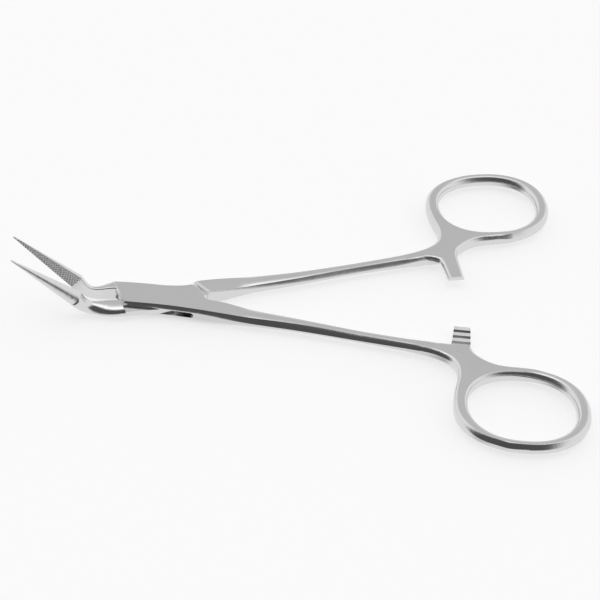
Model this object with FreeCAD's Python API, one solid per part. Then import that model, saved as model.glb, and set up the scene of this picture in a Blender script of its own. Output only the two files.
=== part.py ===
import FreeCAD, Part
import math
import os

# Splinter forceps with a box lock, upturned pointed jaws, finger rings and a three-tooth ratchet.
# Millimetres. The origin is on the pivot axis at the underside of the box. +X runs to the rings,
# +Z is up, and the instrument lies on its flat underside. Both halves are drawn closed, with the
# shank and ring on the +Y side and the jaw on the -Y side. The box half is then mirrored, and
# the two are swung apart about the pivot.

V = FreeCAD.Vector

# Opening
rest_swing = 6.6            # each half stands this many degrees from closed

# Box lock
box_thick = 3.8
box_half_width = 3.1
cheek_thick = 1.2
cheek_front = 7.66          # pivot axis to the sloping end of the cheeks, jaw side
cheek_front_turn = 29.6     # slope of that end, degrees from square
cheek_back = 8.27           # pivot axis to the sloping end of the cheeks, ring side
cheek_back_turn = 38.2
cheek_bevel = 0.45
step_play = 0.25            # cheek ends to the steps of the tongue half
inner_play = 0.05           # shank of the tongue half to the middle plane, beside the box
slot_wall_x = 8.0           # solid ends of the slot, on the two closed sides
slot_wall_y = 1.2
slot_side_play = 0.06       # tongue to cheek, each side
tongue_half_width = 3.2
pin_dia = 2.2
pin_play = 0.04             # radial, pin to tongue

# Forging, before its two faces are ground flat
edge_round = 1.0
box_round = 1.7             # sides of the box
box_grind = 0.7             # ground off each face at the box
ring_grind = 0.05           # and at the ring

# Shank and ring
ring_x = 78.3
ring_y = 22.0
ring_thick = 3.0
hole_long = 11.35           # half length and half width of the finger hole
hole_wide = 8.85
stock_end = 2.85            # width of the ring stock at the ends and the sides of the oval
stock_side = 2.25
oval_fullness = 2.2         # 2 is an ellipse
shank_end_y = 5.62          # inner side of the shank where it meets the ratchet arm
shank_end_width = 2.7

# Ratchet
arm_left = 64.2             # at the free end
arm_right = 67.6
arm_flare = 0.5             # the arm widens this much on its left side towards the shank
arm_reach = 0.9             # past the middle plane when closed
arm_play = 0.1              # between the tooth crests of the two arms
tooth_count = 3
tooth_first = 0.5           # middle plane to the first crest
tooth_pitch = 1.7
tooth_depth = 0.45
tooth_steep = 0.32          # width of the steep face of a tooth
run_out = 2.0               # the last gullet rises to the top of the shank over this length

# Jaws
jaw_gap = 0.02              # each gripping face stands back from the middle plane
jaw_heel = (-17.65, 5.2)    # middle of the gripping face at its wide end, x and z
jaw_tip = (-30.4, 17.0)
jaw_heel_height = 3.75
jaw_heel_depth = 1.9
jaw_tip_height = 0.32
jaw_tip_depth = 0.24
root_width = 3.3            # root of the jaw beside the box, middle plane to its back
hatch_pitch = 0.55
hatch_depth = 0.1
hatch_turn = 32.0           # of the two sets of grooves, to either side of square
groove_start = 0.27         # the long groove, as parts of the way from heel to tip
groove_end = 0.75
groove_width = 0.34

mid = box_thick / 2
ring_left = ring_x - hole_long - stock_end
ring_right = ring_x + hole_long + stock_end
ring_foot = ring_y - hole_wide - stock_side
ring_head = ring_y + hole_wide + stock_side
ring_top = mid + ring_thick / 2
shank_end_x = arm_left - 6.9
margin = 15.0               # cutting tools reach this far past what they cut
jaw_run = V(jaw_tip[0] - jaw_heel[0], 0, jaw_tip[1] - jaw_heel[1])
jaw_tilt = math.degrees(math.atan2(jaw_run.z, -jaw_run.x))


def line(a, b):
    return Part.LineSegment(V(*a), V(*b)).toShape()


def curve(points, start, end):
    """Smooth edge through a few points, leaving and arriving along the given directions."""
    spline = Part.BSplineCurve()
    spline.interpolate(
        Points=[V(*p) for p in points], InitialTangent=V(*start), FinalTangent=V(*end)
    )
    return spline.toShape()


def prism(edges, low, high):
    """Upright solid over a closed run of edges drawn at z = 0."""
    face = Part.Face(Part.Wire(edges))
    face.translate(V(0, 0, low))
    return face.extrude(V(0, 0, high - low))


def polygon(points, low, high):
    places = [V(x, y, 0) for x, y in points]
    return prism(Part.makePolygon(places + places[:1]).Edges, low, high)


def block(x0, x1, y0, y1, z0, z1):
    return Part.makeBox(x1 - x0, y1 - y0, z1 - z0, V(x0, y0, z0))


def bar(points, y0, y1):
    """Solid with a polygon in x and z for its section, along y."""
    places = [V(x, y0, z) for x, z in points]
    return Part.Face(Part.makePolygon(places + places[:1])).extrude(V(0, y1 - y0, 0))


def oval(half_long, half_wide, first, last, steps):
    """Points on the ring's full oval from one angle to another, in degrees."""
    points = []
    for i in range(steps + 1):
        turn = math.radians(first + (last - first) * i / steps)
        across = math.copysign(abs(math.cos(turn)) ** (2 / oval_fullness), math.cos(turn))
        up = math.copysign(abs(math.sin(turn)) ** (2 / oval_fullness), math.sin(turn))
        points.append((ring_x + half_long * across, ring_y + half_wide * up, 0))
    return points


def side_profile(extra):
    """Seen from the side, thickest at the box and the ring, thinnest halfway.

    extra is 1 for the forging and 0 for the ground faces.
    """
    level_x = shank_end_x + 5
    top = [
        (9.0, box_thick + extra * box_grind),
        (15.5, 3.5 + extra * box_grind * 0.68),
        (24.0, 3.23 + extra * box_grind * 0.34),
        (36.8, 3.09 + extra * box_grind * 0.1),
        (50.0, 3.15 + extra * ring_grind),
        (level_x, ring_top + extra * ring_grind),
    ]
    near = -margin
    far = ring_right + margin
    low = [(x, box_thick - z) for x, z in top]
    upper = curve([(x, 0, z) for x, z in top], (1, 0, 0), (1, 0, 0))
    lower = curve([(x, 0, z) for x, z in low[::-1]], (-1, 0, 0), (-1, 0, 0))
    edges = [
        line((near, 0, top[0][1]), (9, 0, top[0][1])),
        upper,
        line((level_x, 0, top[-1][1]), (far, 0, top[-1][1])),
        line((far, 0, top[-1][1]), (far, 0, low[-1][1])),
        line((far, 0, low[-1][1]), (level_x, 0, low[-1][1])),
        lower,
        line((9, 0, low[0][1]), (near, 0, low[0][1])),
        line((near, 0, low[0][1]), (near, 0, top[0][1])),
    ]
    face = Part.Face(Part.Wire(edges))
    face.translate(V(0, -margin, 0))
    return face.extrude(V(0, ring_head + 2 * margin, 0))


def outline():
    """Box, shank, ring and ratchet arm from above. The jaw is added later."""
    back = math.radians(cheek_back_turn)
    down = (-math.sin(back), -math.cos(back), 0)
    width = box_half_width
    ring = oval(hole_long + stock_end, hole_wide + stock_side, 180, -90, 18)
    turns = [(0, 1, 0), (1, 0, 0), (0, -1, 0), (-1, 0, 0)]
    rim = [curve(ring[6 * i:6 * i + 7], turns[i], turns[i + 1]) for i in range(3)]
    reach = -arm_reach - 1.5
    root_left = arm_left - arm_flare
    shoulder_y = shank_end_y + shank_end_width
    outer = [(7.0, width + 0.35, 0), (16.0, 4.2, 0), (30.2, 5.1, 0), (43.7, 6.58, 0),
             (shank_end_x, shoulder_y, 0)]
    inner = [(shank_end_x + 1, shank_end_y, 0), (45.0, 4.16, 0), (29.8, 2.1, 0), (19.2, 0.9, 0),
             (12.0, 0.1, 0)]
    outer_end = (1, 0.16, 0)
    inner_end = (-1, -0.12, 0)
    return [
        curve([(12.0, 0.1, 0), (11.2, 0.05, 0), (10.45, -0.18, 0), (9.9, -0.79, 0)],
              (-1, 0, 0), down),
        line((9.9, -0.79, 0), (7.9, -3.334, 0)),
        curve([(7.9, -3.334, 0), (6.95, -4.3, 0), (5.9, -4.15, 0)], down, (-1, 0.25, 0)),
        curve([(5.9, -4.15, 0), (2.9, -3.5, 0), (0, -width, 0)], (-1, 0.25, 0), (-1, 0, 0)),
        line((0, -width, 0), (-11, -width, 0)),
        line((-11, -width, 0), (-11, width, 0)),
        line((-11, width, 0), (0, width, 0)),
        curve([(0, width, 0), outer[0]], (1, 0, 0), (1, 0.08, 0)),
        curve(outer, (1, 0.08, 0), outer_end),
        curve([outer[-1], (ring_left - 2.8, shoulder_y + 1.15, 0), (ring_left + 0.2, ring_y - 10.1, 0),
               (ring_left + 0.75, ring_y - 7, 0), ring[0]], outer_end, (0, 1, 0)),
        *rim,
        curve([ring[-1], (ring_x - 6.7, ring_foot - 0.75, 0), (arm_right + 1.2, ring_foot - 2.5, 0),
               (arm_right, ring_foot - 5.9, 0)], (-1, 0, 0), (0, -1, 0)),
        line((arm_right, ring_foot - 5.9, 0), (arm_right, reach, 0)),
        line((arm_right, reach, 0), (arm_left, reach, 0)),
        line((arm_left, reach, 0), (root_left, shank_end_y - 2.4, 0)),
        curve([(root_left, shank_end_y - 2.4, 0), (root_left - 0.6, shank_end_y - 0.65, 0),
               (root_left - 2.6, shank_end_y + 0.2, 0), inner[0]],
              (root_left - arm_left, shank_end_y - 2.4 - reach, 0), inner_end),
        curve(inner, inner_end, (-1, 0, 0)),
    ]


def edge_radius(place):
    """Radius of the forging's long edges: large on the sides of the box, less along the shank."""
    outside = place.y > 2.5 and place.x < 31 or place.x < 0.5
    if not outside:
        return edge_round
    share = min(max((place.x - 7) / 23, 0), 1)
    return box_round + (edge_round - box_round) * share


def rounded(body):
    """Round the long top and bottom edges."""
    sheet = FreeCAD.newDocument()
    base = sheet.addObject("Part::Feature", "base")
    base.Shape = body
    picked = []
    for number, edge in enumerate(body.Edges, 1):
        box = edge.BoundBox
        upright = box.ZLength > 2.8
        seam = box.XLength < 0.001 and (abs(box.XMin - 9) < 0.01 or abs(box.XMin - shank_end_x - 5) < 0.01)
        cut_end = box.XMax < -10.9 or box.YMax < -arm_reach - 1.4 and box.XMin > shank_end_x
        if not (upright or seam or cut_end):
            ends = [edge_radius(edge.valueAt(p)) for p in edge.ParameterRange]
            picked.append((number, *ends))
    fillet = sheet.addObject("Part::Fillet", "fillet")
    fillet.Base = base
    fillet.Edges = picked
    sheet.recompute()
    shape = fillet.Shape.copy()
    FreeCAD.closeDocument(sheet.Name)
    return shape


def forging():
    """Box, shank and ring of either half, rounded along its edges and ground flat on its faces."""
    body = prism(outline(), -box_thick, 2 * box_thick)
    hole = Part.BSplineCurve()
    places = [V(*p) for p in oval(hole_long, hole_wide, 0, 360, 20)[:-1]]
    hole.interpolate(Points=places, PeriodicFlag=True)
    body = body.cut(prism([hole.toShape()], -box_thick, 2 * box_thick))
    body = rounded(body.common(side_profile(1)))
    return finish_arm(body.common(side_profile(0)))


def section(x, z, tilt, height, inside, outside, fullness):
    """D-shaped outline across a jaw: flat towards the middle plane, domed on the back."""
    along = math.radians(tilt)
    up = V(math.sin(along), 0, math.cos(along))
    centre = V(x, 0, z)
    corner = 0.08 * height

    def place(y, rise):
        return centre + up * rise + V(0, y, 0)

    dome = []
    for i in range(13):
        turn = math.radians(90 - 15 * i)
        across = abs(math.cos(turn)) ** (2 / fullness)
        rise = math.copysign(abs(math.sin(turn)) ** (2 / fullness), math.sin(turn))
        dome.append(place(inside - corner + (outside - inside + corner) * across, rise * height / 2))
    spline = Part.BSplineCurve()
    spline.interpolate(Points=dome)
    inset = corner * (1 - math.sqrt(0.5))
    flat = height / 2 - corner
    upper = Part.Arc(place(inside, flat), place(inside - inset, height / 2 - inset), dome[0])
    lower = Part.Arc(dome[-1], place(inside - inset, inset - height / 2), place(inside, -flat))
    back = Part.LineSegment(place(inside, -flat), place(inside, flat))
    return Part.Wire([edge.toShape() for edge in (upper, spline, lower, back)])


def jaw(root_sections):
    """Root and tapering point of one jaw, with its gripping face cut."""
    heel = section(*jaw_heel, jaw_tilt, jaw_heel_height, -jaw_gap, -jaw_heel_depth, 2.1)
    tip = section(*jaw_tip, jaw_tilt, jaw_tip_height, -jaw_gap, -jaw_gap - jaw_tip_depth, 2.1)
    root = Part.makeLoft([section(*s) for s in root_sections] + [heel], True, False)
    point = Part.makeLoft([heel, tip], True, True)
    return root.fuse(point).cut(gripping_face())


def wedge(start, direction, length, width, depth):
    """V groove in the gripping face, from a point along a direction in the middle plane."""
    across = V(0, 1, 0).cross(direction)
    lip = jaw_gap
    slope_out = 1 + lip / depth
    corners = [
        start + across * (width / 2 * slope_out),
        start - across * (width / 2 * slope_out),
        start + V(0, -jaw_gap - depth, 0),
    ]
    face = Part.Face(Part.makePolygon(corners + corners[:1]))
    return face.extrude(direction * length)


def gripping_face():
    """Two crossing sets of fine grooves, and one long groove down the middle of the point."""
    along = V(jaw_run).normalize()
    heel = V(jaw_heel[0], 0, jaw_heel[1])
    across = along.cross(V(0, 1, 0))
    turn = math.radians(hatch_turn)
    reach = jaw_heel_height / 2 / math.cos(turn)
    spacing = hatch_pitch / math.cos(turn)
    overhang = reach * math.sin(turn)
    grooves = []
    for sign in (-1, 1):
        direction = across * math.cos(turn) + along * (sign * math.sin(turn))
        for i in range(int(-overhang / spacing), int(jaw_run.Length / spacing)):
            # a groove that would run past the end of the hatch starts or stops there
            limit = i * spacing / math.sin(turn)
            first = max(-reach, -limit) if sign > 0 else -reach
            last = reach if sign > 0 else min(reach, limit)
            if last - first > hatch_pitch:
                start = heel + along * (i * spacing) + direction * first
                grooves.append(wedge(start, direction, last - first, hatch_pitch * 0.8, hatch_depth))
    start = heel + V(jaw_run) * groove_start
    grooves.append(wedge(start, along, jaw_run.Length * (groove_end - groove_start),
                         groove_width, groove_width))
    return grooves


def beyond(distance, turn, x_side, low, high):
    """Everything beyond a sloping upright plane, on the ring side (+1) or the jaw side (-1)."""
    far = ring_right + ring_head
    body = block(distance, distance + far, -far, far, low, high)
    body.rotate(V(0, 0, 0), V(0, 0, 1), turn if x_side > 0 else 180 + turn)
    return body


def bevel(distance, turn, x_side, outward):
    """What a bevel takes off both edges of an upright sloping end, facing out (1) or in (-1)."""
    tools = []
    for face, rise in ((box_thick, 1), (0, -1)):
        size = cheek_bevel
        points = [
            (distance - outward * (size + 1), face + rise),
            (distance + outward * 2, face + rise),
            (distance + outward * 2, face - rise * (size + 2)),
        ]
        tool = bar(points, -margin, margin)
        tool.rotate(V(0, 0, 0), V(0, 0, 1), turn if x_side > 0 else 180 + turn)
        tools.append(tool)
    return tools


def arm_teeth():
    """What leaves the ratchet arm above its passing plane, with the teeth and the run-out."""
    crest = mid - arm_play / 2
    low = crest - tooth_depth
    ramp = tooth_pitch - tooth_steep
    start = -arm_reach - 1
    profile = [(start, box_thick + 1), (start, low), (tooth_first - ramp, low)]
    for i in range(tooth_count):
        y = tooth_first + i * tooth_pitch
        profile += [(y, crest), (y + tooth_steep, low)]
    gullet = tooth_first + (tooth_count - 0.5) * tooth_pitch + 0.25
    rise = (box_thick + 1 - low) / (ring_top - low)
    profile += [(gullet, low), (gullet + run_out * rise, box_thick + 1)]
    places = [V(arm_left - 3, y, z) for y, z in profile]
    face = Part.Face(Part.makePolygon(places + places[:1]))
    return face.extrude(V(arm_right - arm_left + 6, 0, 0))


def finish_arm(body):
    """Cut the end of the ratchet arm, thin it and cut its teeth, facing up."""
    end = block(arm_left - 4, arm_right + 4, -arm_reach - 4, -arm_reach, -1, box_thick + 1)
    return body.cut(end).cut(arm_teeth())


def slot():
    """Room for the tongue, open at both ends of the box and closed on opposite sides."""
    low = cheek_thick
    high = box_thick - cheek_thick
    radius = (high - low) / 2
    middle = slot_wall_x - radius
    far = box_half_width + 2
    body = polygon([
        (-12, far), (middle, far), (middle, slot_wall_y), (slot_wall_x, slot_wall_y),
        (10.5, 0.02), (10.9, -0.3), (10.9, -far), (-middle, -far), (-middle, -slot_wall_y),
        (-slot_wall_x, -slot_wall_y), (-9.2, -0.97), (-12, -0.6),
    ], low, high)
    for side in (1, -1):
        start = V(side * middle, side * slot_wall_y, mid)
        body = body.fuse(Part.makeCylinder(radius, far - slot_wall_y, start, V(0, side, 0)))
    return body


def box_half():
    body = forging()
    # the cheeks stop at a bevelled sloping end on the jaw side, and the jaw leaves beside it
    body = body.cut(beyond(cheek_front, -cheek_front_turn, -1, -1, box_thick + 1))
    body = body.cut(bevel(cheek_front, -cheek_front_turn, -1, 1))
    body = body.fuse(jaw([
        (-7.4, mid, 0, box_thick - 0.06, -0.97, -box_half_width + 0.06, 6),
        (-9.3, mid, 0, box_thick - 0.04, -0.97, -box_half_width + 0.02, 6),
        (-10.4, 1.86, 1, box_thick - 0.15, -0.88, -box_half_width + 0.03, 5),
        (-11.8, 1.75, 5, 3.4, -0.75, -2.75, 3.5),
        (-13.6, 1.82, 12, 3.1, -0.45, -2.0, 2.6),
        (-16.05, 3.0, 35, 3.15, -0.08, -1.8, 2.3),
    ]))
    body = body.cut(slot())
    pin = Part.makeCylinder(pin_dia / 2, box_thick + 2, V(0, 0, -1))
    return body.cut(pin).removeSplitter()


def tongue_half():
    # this half carries its teeth on the underside of the arm
    body = forging().mirror(V(0, 0, mid), V(0, 0, 1))
    shoulder = cheek_back + step_play
    step = cheek_front + step_play
    body = body.common(beyond(shoulder, cheek_back_turn, 1, -1, box_thick + 1))
    body = body.cut(bevel(shoulder, cheek_back_turn, 1, -1))
    body = body.cut(block(0, 2 * shoulder, -margin, inner_play, -1, box_thick + 1))
    bite = jaw([
        (-5.5, mid, 0, 2.85, -jaw_gap, -root_width, 2.6),
        (-9.3, mid, 0, 2.9, -jaw_gap, -root_width - 0.05, 2.6),
        (-10.4, 1.88, 1, 2.95, -jaw_gap, -root_width + 0.1, 2.5),
        (-11.9, 1.86, 5, 3.05, -jaw_gap, -2.75, 2.4),
        (-13.6, 1.86, 12, 3.1, -jaw_gap, -2.0, 2.3),
        (-16.05, 3.0, 35, 3.15, -jaw_gap, -1.8, 2.2),
    ])
    bite = bite.common(beyond(step, cheek_front_turn, -1, -5, 30))
    low = cheek_thick + slot_side_play
    high = box_thick - cheek_thick - slot_side_play
    wide = tongue_half_width
    tongue = polygon([
        (-9.6, -1.2), (-8.4, -wide), (3.2, -wide), (slot_wall_x, 0.3 - slot_wall_y), (10.9, 0.3),
        (11.2, 1.5), (7.4, wide), (-3.2, wide), (-slot_wall_x, slot_wall_y - 0.3), (-9.8, -jaw_gap),
    ], low, high)
    body = body.fuse([bite, tongue])
    body = body.cut(Part.makeCylinder(pin_dia / 2 + pin_play, 10, V(0, 0, -2)))
    return body.removeSplitter()


os.makedirs("parts", exist_ok=True)
origin = V(0, 0, 0)
lower = box_half().mirror(origin, V(0, 1, 0))
lower.rotate(origin, V(0, 0, 1), -rest_swing)
upper = tongue_half()
upper.rotate(origin, V(0, 0, 1), rest_swing)
pin = Part.makeCylinder(pin_dia / 2, box_thick)
for name, shape in (("box_half", lower), ("tongue_half", upper), ("pivot_pin", pin)):
    print(name, shape.isValid(), len(shape.Solids), round(shape.Volume, 1))
    shape.exportStep("parts/" + name + ".step")
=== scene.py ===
import math

import bmesh
import bpy
from mathutils import Matrix, Vector


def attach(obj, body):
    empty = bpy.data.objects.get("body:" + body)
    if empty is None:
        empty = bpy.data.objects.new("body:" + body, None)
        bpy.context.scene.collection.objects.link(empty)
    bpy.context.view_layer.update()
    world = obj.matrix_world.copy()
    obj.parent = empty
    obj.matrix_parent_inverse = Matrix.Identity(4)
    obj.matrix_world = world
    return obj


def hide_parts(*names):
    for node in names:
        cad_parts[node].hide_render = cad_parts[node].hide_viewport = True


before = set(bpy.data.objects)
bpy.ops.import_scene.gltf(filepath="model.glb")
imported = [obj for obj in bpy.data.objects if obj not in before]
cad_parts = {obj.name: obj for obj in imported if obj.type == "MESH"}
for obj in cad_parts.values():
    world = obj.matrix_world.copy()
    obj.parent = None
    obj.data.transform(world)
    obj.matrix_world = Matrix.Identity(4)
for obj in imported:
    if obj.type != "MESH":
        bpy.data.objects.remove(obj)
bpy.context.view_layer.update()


# Steel
# Both halves are drop-forged stainless steel, ground and tumbled to an even satin that still
# mirrors lights and dark edges softly. Only the hatched gripping faces are matt and greyer.
mm = 0.001
rest_swing = math.radians(6.6)  # each half stands this far from closed
mottle = {"Scale": 160.0, "Detail": 2.0}  # scales are in marks to the metre
tumbling = {"Scale": 2200.0, "Detail": 3.0}
grain = {"Scale": 5200.0, "Detail": 2.0}
steel_dark = (0.775, 0.775, 0.782, 1)
steel_light = (0.825, 0.825, 0.828, 1)
satin_roughness = 0.16
tumbling_roughness = 0.06
mottle_roughness = 0.07
grain_strength = 0.5
grain_depth = 0.005 * mm
hatch_grey = (0.66, 0.66, 0.665, 1)
hatch_cover = 0.85  # part of the ground steel's colour that the grey hides
hatch_roughness = 0.2
jaw_run = (-0.734, 0.679)  # x and z of the direction in which the jaws run
hatch_heel = (16.4 * mm, 16.7 * mm)  # from the pivot in that direction, where the hatch begins
hatch_skin = (0.13 * mm, 0.19 * mm)  # from a half's parting plane, where the hatch ends


class Socket:
    """A shader value that Python's operators work on."""

    def __init__(self, nodes, out):
        self.nodes = nodes
        self.out = out

    def math(self, operation, *values):
        inputs = dict(enumerate((self,) + values))
        return self.nodes.value("ShaderNodeMath", {"operation": operation}, inputs)

    def __add__(self, other):
        return self.math("ADD", other)

    __radd__ = __add__

    def __sub__(self, other):
        return self.math("SUBTRACT", other)

    def __rsub__(self, other):
        return self.math("MULTIPLY_ADD", -1.0, other)

    def __mul__(self, other):
        return self.math("MULTIPLY", other)

    __rmul__ = __mul__

    def ramp(self, low, high):
        """0 below low, 1 above high, smooth between."""
        settings = {"interpolation_type": "SMOOTHSTEP"}
        return self.nodes.value("ShaderNodeMapRange", settings, {0: self, 1: low, 2: high})


class Nodes:
    """The nodes of one material or of the world."""

    def __init__(self, owner):
        owner.use_nodes = True
        self.owner = owner
        self.tree = owner.node_tree

    def put(self, socket, value):
        if isinstance(value, Socket):
            self.tree.links.new(value.out, socket)
        else:
            socket.default_value = value

    def value(self, kind, settings, inputs, output=0):
        """Add a node: its settings first, then the values or links of its sockets."""
        node = self.tree.nodes.new(kind)
        for name, setting in settings.items():
            setattr(node, name, setting)
        for name, value in inputs.items():
            self.put(node.inputs[name], value)
        return Socket(self, node.outputs[output])

    def split(self, vector):
        """The x, y and z of a vector."""
        return [self.value("ShaderNodeSeparateXYZ", {}, {"Vector": vector}, axis) for axis in "XYZ"]

    def mix(self, part, first, second):
        """A colour that goes from first to second as part goes from 0 to 1."""
        return self.value("ShaderNodeMix", {"data_type": "RGBA"}, {0: part, 6: first, 7: second}, 2)

    def shade(self, **sockets):
        shader = self.tree.nodes["Principled BSDF"]
        for name, value in sockets.items():
            self.put(shader.inputs[name.replace("_", " ").title()], value)


def hatched_faces(nodes, place):
    """1 on the two gripping faces from the heel of the jaws to their tips, 0 elsewhere."""
    x, y, z = nodes.split(place)
    spread = x * math.tan(rest_swing)
    off_far = (y + spread).math("ABSOLUTE")
    off_near = (y - spread).math("ABSOLUTE")
    on_face = 1 - off_far.math("MINIMUM", off_near).ramp(*hatch_skin)
    return (jaw_run[0] * x + jaw_run[1] * z).ramp(*hatch_heel) * on_face


def satin_steel():
    nodes = Nodes(bpy.data.materials.new("satin_steel"))
    place = nodes.value("ShaderNodeTexCoord", {}, {}, "Object")
    cloudy, tumbled, grained = (
        nodes.value("ShaderNodeTexNoise", {}, {"Vector": place, **marks})
        for marks in (mottle, tumbling, grain)
    )
    hatched = hatched_faces(nodes, place)
    ground = nodes.mix(cloudy, steel_dark, steel_light)
    bump = {"Strength": grain_strength, "Distance": grain_depth, "Height": grained}
    worked = satin_roughness + tumbling_roughness * tumbled + mottle_roughness * cloudy
    nodes.shade(
        base_color=nodes.mix(hatched * hatch_cover, ground, hatch_grey),
        metallic=1.0,
        roughness=worked + hatch_roughness * hatched,
        normal=nodes.value("ShaderNodeBump", {}, bump),
    )
    return nodes.owner


steel = satin_steel()


# Box half and tongue half
# Two forgings of that steel, joined in the box lock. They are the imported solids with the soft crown
# that tumbling leaves on shank and ring, where the ground flat falls away towards each long edge.
half_thick = 1.9  # in millimetres, as all sizes of a closed half, with x from the pivot to the rings
shank_outer = [(7.0, 3.45), (16.0, 4.2), (30.2, 5.1), (43.7, 6.58), (57.3, 8.32), (64.0, 9.5)]
shank_inner = [(12.0, 0.1), (19.2, 0.9), (29.8, 2.1), (45.0, 4.16), (58.3, 5.62), (64.0, 6.2)]
shank_crown = 0.28  # part of the half thickness lost at the edges
shank_crown_width = 1.5  # in from each edge
shank_crown_start = (14.0, 22.0)  # x where it fades in past the box, and out before the ring
shank_crown_end = (54.0, 60.0)
shank_skirt = 0.3  # the sides lie up to this far outside the edge lines
ring_centre = (78.3, 22.0)
hole_half = (11.35, 8.85)
ring_half = (14.2, 11.1)
oval_fullness = 2.2
ring_crown = 0.32
ring_crest = 0.62  # of the way from the hole to the rim, where nothing is lost
ring_skirt = 0.1  # of that way, by which the sides lie outside the ovals
ring_leaves = (-100.0, -60.0)  # degrees round the ring where its crown fades in, and out
ring_returns = (120.0, 165.0)
flat_level = 0.9995  # a face that points up or down at least this much is part of a flat
mesh_step = 0.6  # longest edge left on a crowned flat
cut_rounds = 6
weld_reach = 0.00005
slope_step = 0.02


def smooth(value, low, high):
    """0 below low, 1 above high, smooth between."""
    part = min(max((value - low) / (high - low), 0.0), 1.0)
    return part * part * (3 - 2 * part)


def between(points, x):
    """Height at x of a line through points."""
    for (x0, y0), (x1, y1) in zip(points, points[1:]):
        if x <= x1:
            break
    return y0 + (y1 - y0) * (x - x0) / (x1 - x0)


def shank_loss(x, y):
    """Part of the half thickness that the crown takes from the shank."""
    if not shank_crown_start[0] < x < shank_crown_end[1]:
        return 0.0
    inside = min(between(shank_outer, x) - y, y - between(shank_inner, x))
    if inside <= -shank_skirt:
        return 0.0
    slope = max(1 - max(inside, 0.0) / shank_crown_width, 0.0)
    return shank_crown * slope**2 * smooth(x, *shank_crown_start) * (1 - smooth(x, *shank_crown_end))


def oval_reach(along, out, half):
    """How far out a point lies in an oval, with 1 on its line."""
    total = (abs(along) / half[0]) ** oval_fullness + (abs(out) / half[1]) ** oval_fullness
    return total ** (1 / oval_fullness)


def ring_loss(x, y):
    """Part of the half thickness that the crown takes from the ring."""
    along = x - ring_centre[0]
    out = y - ring_centre[1]
    turn = math.degrees(math.atan2(out, along))
    free = smooth(turn, *ring_leaves) * (1 - smooth(turn, *ring_returns))
    if free == 0:
        return 0.0
    hole = oval_reach(along, out, hole_half)
    rim = oval_reach(along, out, ring_half)
    part = (1 - 1 / hole) / (1 / rim - 1 / hole)
    if not -ring_skirt < part < 1 + ring_skirt:
        return 0.0
    if part < ring_crest:
        slope = (ring_crest - part) / ring_crest
    else:
        slope = (part - ring_crest) / (1 - ring_crest)
    return ring_crown * min(slope, 1.0) ** 2 * free


def cut_flats(shape, lost):
    """Cut the long edges of the flats where the crown reaches, so that it comes out round."""
    for _ in range(cut_rounds):
        long = []
        for edge in shape.edges:
            if not any(abs(face.normal.z) > flat_level for face in edge.link_faces):
                continue
            one, two = (vert.co for vert in edge.verts)
            if edge.calc_length() > mesh_step * mm and max(lost(one), lost(two), lost((one + two) / 2)) > 0:
                long.append(edge)
        if not long:
            break
        bmesh.ops.subdivide_edges(shape, edges=long, cuts=1)
        bmesh.ops.triangulate(shape, faces=[face for face in shape.faces if len(face.verts) > 3])


def press_crown(shape, lost, normal):
    """Move every point towards the middle by its loss, and tilt its corner normals to match."""
    step = slope_step * mm
    step_x = Vector((step, 0, 0))
    step_y = Vector((0, step, 0))
    for vert in shape.verts:
        lift = vert.co.z - half_thick * mm
        part = lost(vert.co)
        slope_x = (lost(vert.co + step_x) - lost(vert.co - step_x)) / (2 * step)
        slope_y = (lost(vert.co + step_y) - lost(vert.co - step_y)) / (2 * step)
        for loop in vert.link_loops:
            up = loop[normal].z / (1 - part)
            loop[normal] += Vector((lift * slope_x * up, lift * slope_y * up, up - loop[normal].z))
        vert.co.z -= lift * part


def crowned(node, body, side):
    """Copy a packed half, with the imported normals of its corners, and press the crown into the copy."""
    packed = bpy.data.objects[node].data
    to_closed = Matrix.Rotation(-side * rest_swing, 3, "Z")

    def lost(place):
        own = to_closed @ place / mm
        return shank_loss(own.x, side * own.y) + ring_loss(own.x, side * own.y)

    shape = bmesh.new()
    shape.from_mesh(packed)
    normal = shape.loops.layers.float_vector.new("packed_normal")
    corners = [loop for face in shape.faces for loop in face.loops]
    for loop, corner in zip(corners, packed.corner_normals):
        loop[normal] = corner.vector
    bmesh.ops.remove_doubles(shape, verts=shape.verts, dist=weld_reach * mm)
    cut_flats(shape, lost)
    press_crown(shape, lost, normal)
    mesh = bpy.data.meshes.new(node + "_steel")
    shape.to_mesh(mesh)
    shape.free()
    mesh.shade_smooth()
    tilted = [Vector(item.vector).normalized() for item in mesh.attributes["packed_normal"].data]
    mesh.normals_split_custom_set(tilted)
    mesh.attributes.remove(mesh.attributes["packed_normal"])
    mesh.materials.append(steel)
    piece = bpy.data.objects.new(node + "_steel", mesh)
    bpy.context.collection.objects.link(piece)
    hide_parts(node)
    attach(piece, body)


crowned("box_half", "box_side", -1)
crowned("tongue_half", "tongue_side", 1)


# Pivot pin
# A plain pin of the same steel, pressed through the two cheeks with its ends ground flush. It shows
# as packed and only takes the steel, as do the hidden solids of the two halves.
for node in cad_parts:
    for slot in bpy.data.objects[node].material_slots:
        slot.material = steel


# Shoulders of the ratchet arms
# On a forging the rounded inner edge of the shank runs on unbroken to the root of the ratchet arm.
# A small fitted shoulder of the same steel carries it over the last millimetres, on each half.
shoulder_edge = [(61.17, 5.83), (61.8, 5.86), (62.4, 5.9), (63.1, 5.93), (63.75, 5.95)]
gullet_foot = (5.0, 1.4)  # y and z where the last gullet of the arm starts to rise, and meets the flat
gullet_head = (7.0, 3.4)
edge_round = 1.0
edge_round_height = 2.45  # where the rounding of the edge starts
edge_round_stop = math.asin((gullet_head[1] - edge_round_height) / edge_round)
edge_round_steps = 8
foot_sink = 0.03  # how far the shoulder dips into the half in the gullet, and under the flat
head_sink = 0.04
crease = math.radians(35)


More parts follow.
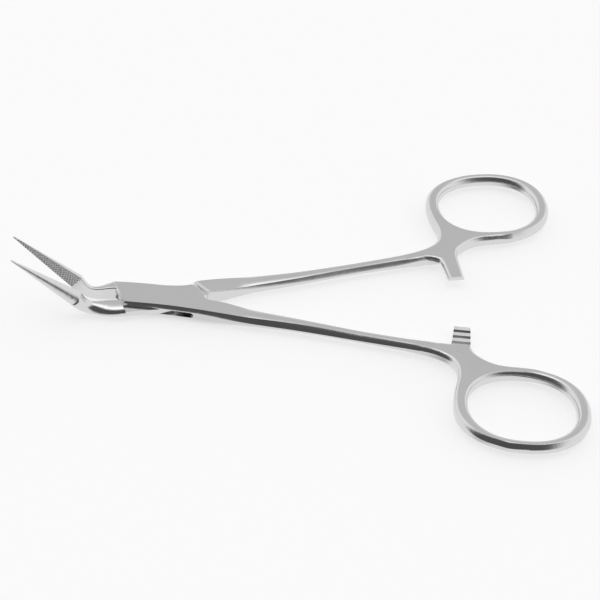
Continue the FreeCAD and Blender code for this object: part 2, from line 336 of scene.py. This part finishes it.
def shoulder_section(edge_y):
    """Across the shank, from the gullet up round the edge and over the flat."""
    gullet_z = gullet_foot[1] + edge_y - gullet_foot[0]
    section = [(edge_y, gullet_z - foot_sink)]
    for step in range(edge_round_steps + 1):
        turn = edge_round_stop * step / edge_round_steps
        y = edge_y + edge_round * (1 - math.cos(turn))
        section.append((y, edge_round_height + edge_round * math.sin(turn)))
    return section + [gullet_head, (gullet_head[0], gullet_head[1] - head_sink)]


def shoulder(name, body, side):
    """Join the sections along the edge to a closed piece, turned to where its half rests."""
    shape = bmesh.new()
    from_closed = Matrix.Rotation(side * rest_swing, 3, "Z")
    rows = []
    for x, edge_y in shoulder_edge:
        row = []
        for y, z in shoulder_section(edge_y):
            place = Vector((x, side * y, half_thick + (half_thick - z) * side))
            row.append(shape.verts.new(from_closed @ place * mm))
        rows.append(row)
    for one, two in zip(rows, rows[1:]):
        for i in range(len(one)):
            j = (i + 1) % len(one)
            shape.faces.new((one[i], one[j], two[j], two[i]))
    shape.faces.new(rows[0])
    shape.faces.new(rows[-1])
    bmesh.ops.recalc_face_normals(shape, faces=shape.faces)
    mesh = bpy.data.meshes.new(name)
    shape.to_mesh(mesh)
    shape.free()
    mesh.shade_smooth()
    mesh.set_sharp_from_angle(angle=crease)
    mesh.materials.append(steel)
    piece = bpy.data.objects.new(name, mesh)
    bpy.context.collection.objects.link(piece)
    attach(piece, body)


shoulder("arm_shoulder_box_half", "box_side", -1)
shoulder("arm_shoulder_tongue_half", "tongue_side", 1)


# Floor
# A plain white table top, large enough to fill every view. It is seen brightened towards white, with
# a soft part of the shadow left, and the steel mirrors the room light in its place.
floor_reach = 3.0
floor_white = (0.97, 0.97, 0.97, 1)
floor_roughness = 0.9
floor_glow = 0.5
glow_strength = 1.26
floor_mesh = bpy.data.meshes.new("floor")
floor_corners = [(x * floor_reach, y * floor_reach, 0) for x, y in ((-1, -1), (1, -1), (1, 1), (-1, 1))]
floor_mesh.from_pydata(floor_corners, [], [(0, 1, 2, 3)])
floor = bpy.data.objects.new("floor", floor_mesh)
bpy.context.collection.objects.link(floor)
table = Nodes(bpy.data.materials.new("white_table"))
table.shade(base_color=floor_white, roughness=floor_roughness)
painted = Socket(table, table.tree.nodes["Principled BSDF"].outputs[0])
glow = table.value("ShaderNodeEmission", {}, {"Color": (1, 1, 1, 1), "Strength": glow_strength})
seen, mirrored, seen_through = (
    table.value("ShaderNodeLightPath", {}, {}, ray)
    for ray in ("Is Camera Ray", "Is Glossy Ray", "Is Transmission Ray")
)
part_glow = (seen + mirrored + seen_through) * floor_glow
table_top = table.value("ShaderNodeMixShader", {}, {0: part_glow, 1: painted, 2: glow})
table.put(table.tree.nodes["Material Output"].inputs["Surface"], table_top)
floor_mesh.materials.append(table.owner)
floor.visible_glossy = False


# Room light
# A soft white tent with a brighter ceiling, a greyer panel facing the camera and a dark opening on
# the near side, which put the light and dark bands along the rounded steel.
tent = 0.86
ceiling = 1.3
ceiling_edge = (0.8, 0.94)  # upward part of the direction, where the ceiling begins
panel = 0.56
panel_tilt = math.sqrt(0.5)  # the panel is on the far side, halfway up
panel_edge = (0.8, 0.96)
opening = 0.08
opening_edge = (0.1, 0.48)  # nearward part of the direction
opening_end = (0.35, 0.8)  # part of it towards the rings
opening_foot = (-0.62, -0.36)  # upward part of it, which rises towards the rings
opening_rise = 0.42
world = bpy.data.worlds.new("studio")
bpy.context.scene.world = world
sky = Nodes(world)
to_rings, to_far_side, to_ceiling = sky.split(sky.value("ShaderNodeTexCoord", {}, {}, "Generated"))
light = tent + (ceiling - tent) * to_ceiling.ramp(*ceiling_edge)
light = light + (panel - light) * ((to_far_side + to_ceiling) * panel_tilt).ramp(*panel_edge)
in_opening = (to_far_side * -1).ramp(*opening_edge) * (1 - to_rings.ramp(*opening_end))
in_opening = in_opening * (to_ceiling - opening_rise * to_rings).ramp(*opening_foot)
light = light + (opening - light) * in_opening
background = sky.tree.nodes["Background"]
sky.put(background.inputs["Strength"], light)
background.inputs["Color"].default_value = (1, 1, 1, 1)


# Camera
# It looks down at 45 degrees from in front of the box lock, a little rolled. Its place is worked out
# from the point that it looks at.
camera_turn = math.radians(5.37)
camera_drop = math.radians(45.0)
camera_roll = math.radians(4.26)
camera_reach = 0.3754
camera_aim = Vector((0.03088, 0.00252, 0.0))
camera_lens = 103.01
camera_sensor = 36.0
camera_clip = 0.01
ahead = math.cos(camera_drop)
forward = Vector((math.sin(camera_turn) * ahead, math.cos(camera_turn) * ahead, -math.sin(camera_drop)))
level = forward.cross(Vector((0, 0, 1))).normalized()
upward = level.cross(forward)
right = level * math.cos(camera_roll) + upward * math.sin(camera_roll)
top = upward * math.cos(camera_roll) - level * math.sin(camera_roll)
camera_data = bpy.data.cameras.new("camera")
camera_data.lens = camera_lens
camera_data.sensor_width = camera_sensor
camera_data.clip_start = camera_clip
camera = bpy.data.objects.new("camera", camera_data)
axes = Matrix((right, top, -forward)).transposed().to_4x4()
camera.matrix_world = Matrix.Translation(camera_aim - forward * camera_reach) @ axes
bpy.context.collection.objects.link(camera)
bpy.context.scene.camera = camera
bpy.context.scene.view_settings.view_transform = "Standard"
